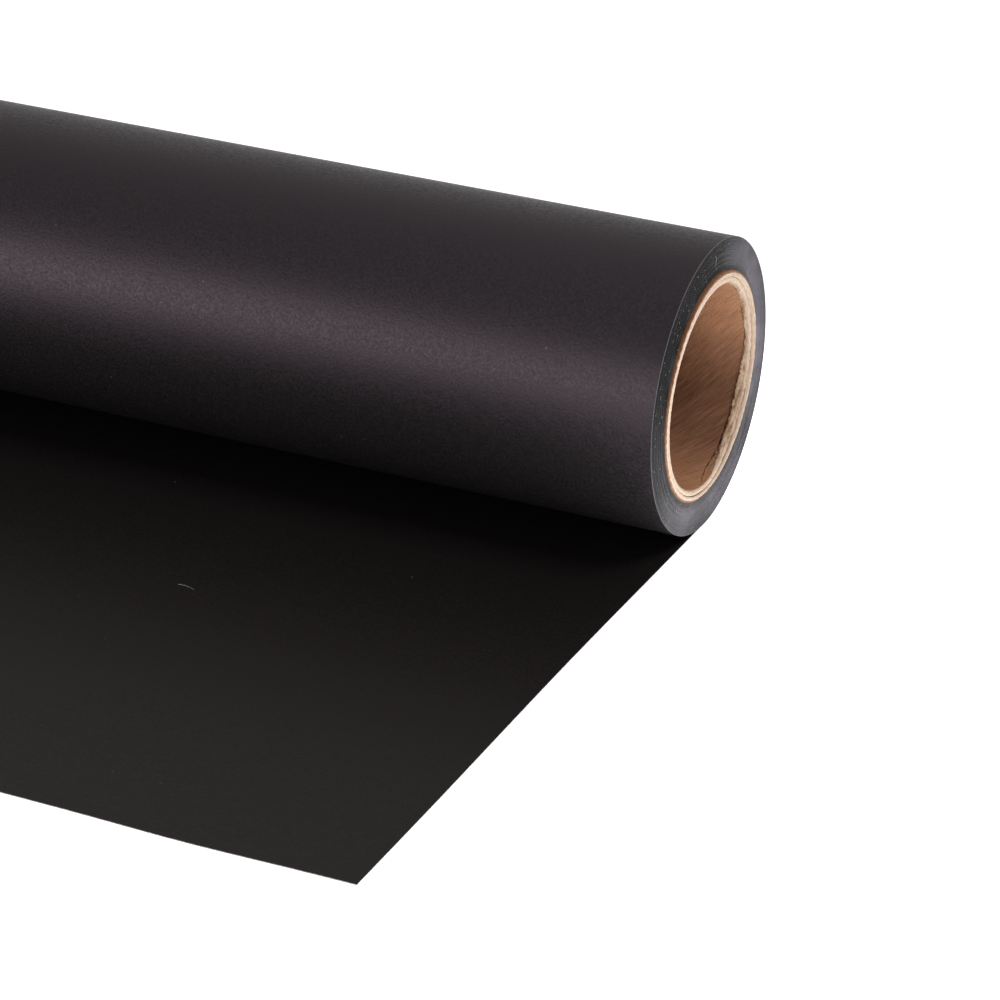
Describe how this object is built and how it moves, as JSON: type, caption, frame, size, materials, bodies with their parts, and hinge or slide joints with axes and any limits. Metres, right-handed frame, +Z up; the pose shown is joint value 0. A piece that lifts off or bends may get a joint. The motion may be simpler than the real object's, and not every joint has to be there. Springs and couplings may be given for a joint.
{
  "type": "backdrop paper roll",
  "caption": "Roll of matte black studio background paper on a spiral-wound card core, lying down with its loose end drawn out in front.",
  "frame": {"origin": "on the axis of the core's bore, halfway along the roll", "axes": "+X along the roll, +Y from the loose end towards the back of the roll, +Z up from the floor it lies on"},
  "size_m": [1.3516, 0.2552, 0.0826],
  "materials": {
    "black_paper": "matte",
    "kraft_liner": "matte",
    "pale_board": "matte",
    "kraft_cover": "matte",
    "paper_tape": "matte"
  },
  "bodies": {
    "loose_end": {"loose_sheet": "black_paper"},
    "paid_out": {"paid_out_sheet": "black_paper"},
    "roll": {"core_liner": "kraft_liner", "core_inner_board": "pale_board", "core_outer_board": "pale_board", "core_cover": "kraft_cover", "start_tape": "paper_tape", "wound_paper": "black_paper"}
  },
  "joints": [
    {"name": "roll_travel", "type": "slide", "parent": "loose_end", "child": "paid_out", "axis": [0, 1, 0], "range_m": [0, 0.19]},
    {"name": "roll_turn", "type": "hinge", "parent": "paid_out", "child": "roll", "pos_m": [0, 0, 0], "axis": [-1, 0, 0], "range_deg": [0, 264.2]}
  ],
  "couplings": [
    {"joint": "roll_travel", "follows": "roll_turn", "m_per_rad": 0.0412}
  ]
}
